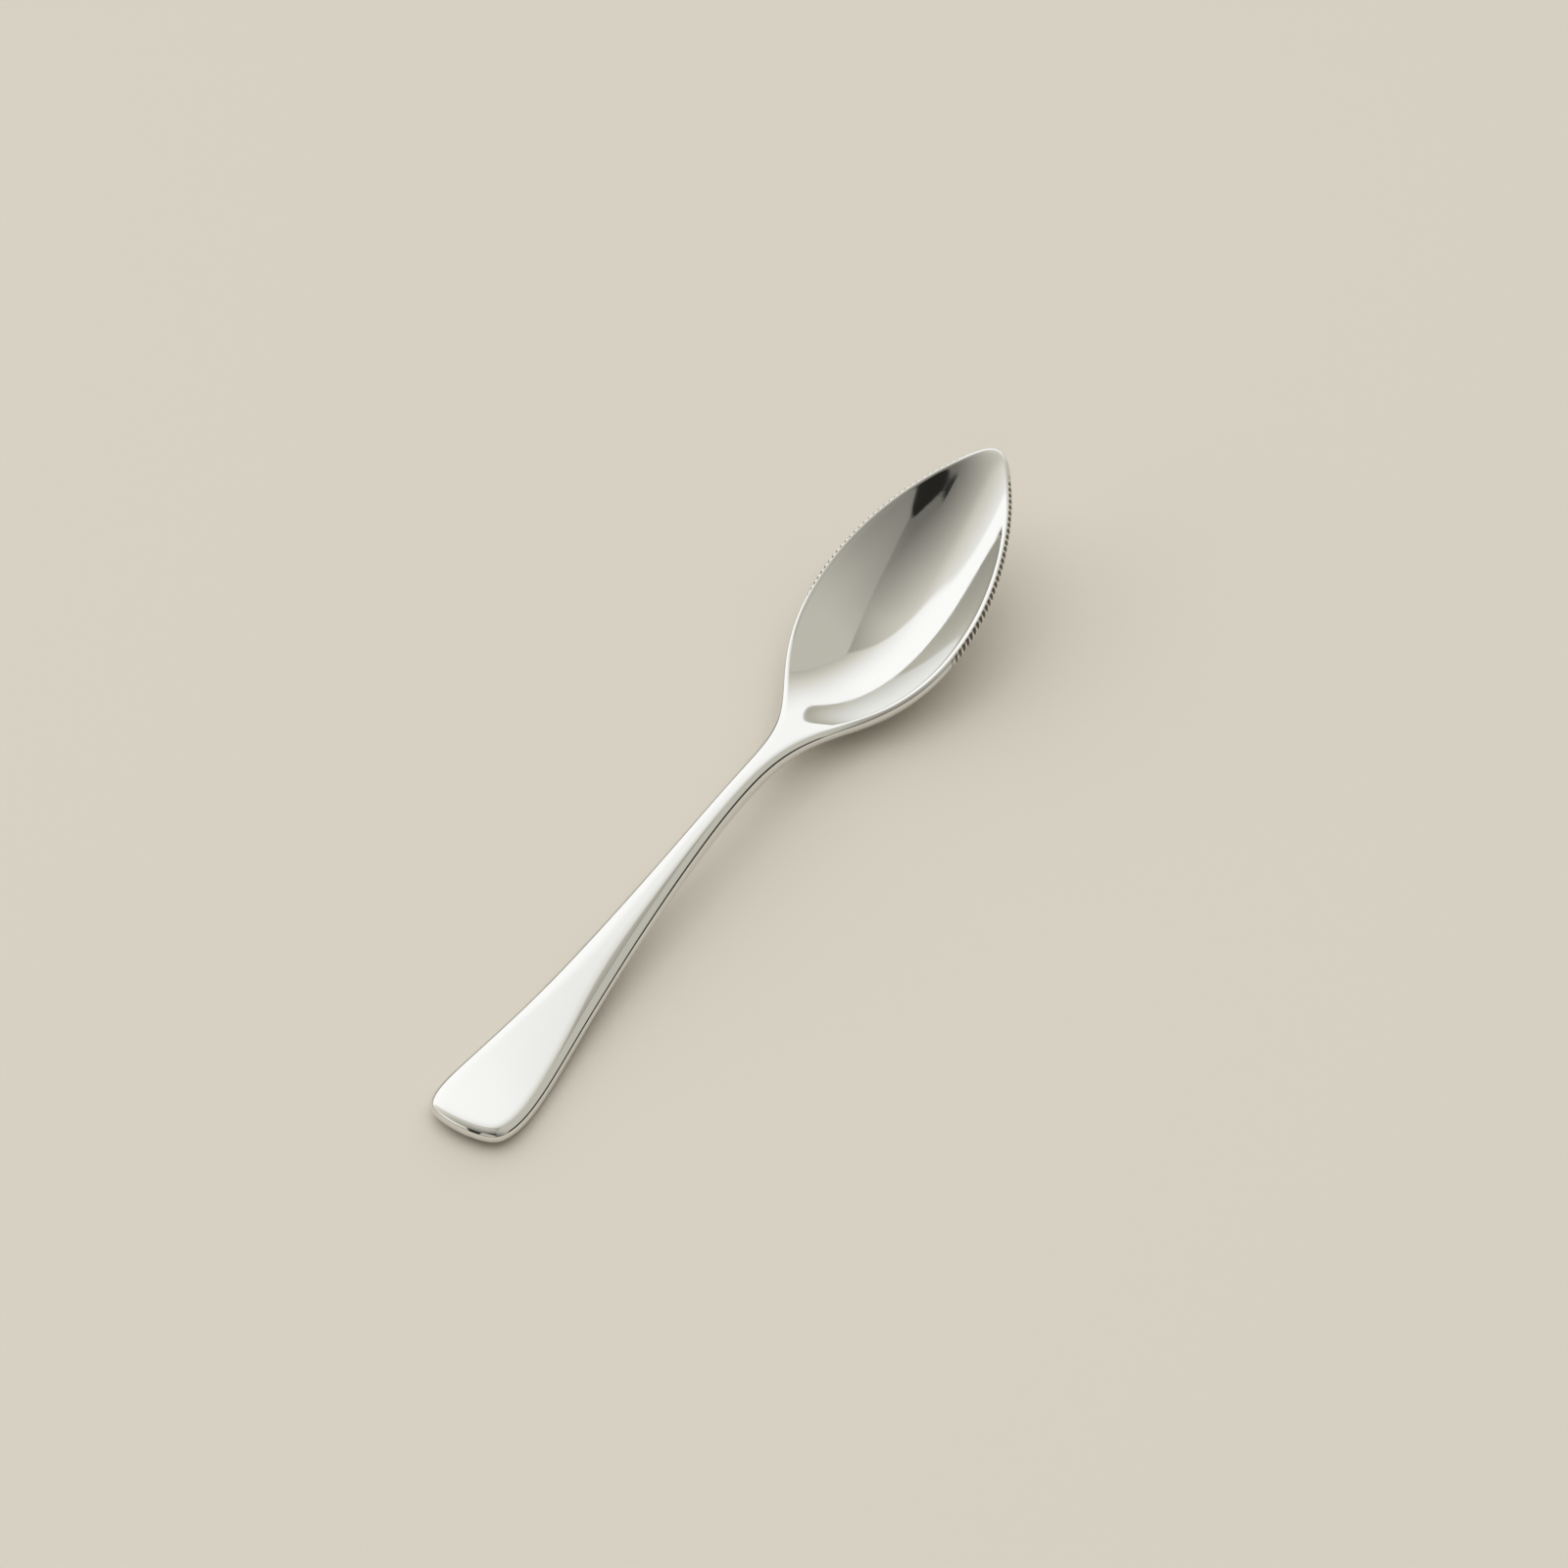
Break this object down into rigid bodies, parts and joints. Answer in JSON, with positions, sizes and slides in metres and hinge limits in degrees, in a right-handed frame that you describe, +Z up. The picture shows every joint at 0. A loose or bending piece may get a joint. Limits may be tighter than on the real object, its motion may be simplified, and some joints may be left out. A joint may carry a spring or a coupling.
{
  "type": "grapefruit spoon",
  "caption": "Slim stainless-steel spoon with a pointed, deep leaf-shaped bowl whose side rims are finely serrated, and a flared, arched handle.",
  "frame": {"origin": "on the table plane, at the middle of the spoon's length and width", "axes": "+X from the flared handle end to the pointed tip of the bowl, +Y across the spoon, +Z up from the table"},
  "size_m": [0.16, 0.0294, 0.0201],
  "materials": {
    "polished_steel": "mirror-polished stainless steel"
  },
  "bodies": {
    "root": {"handle_end": "polished_steel", "stem": "polished_steel", "neck": "polished_steel", "bowl": "polished_steel"}
  },
  "joints": []
}
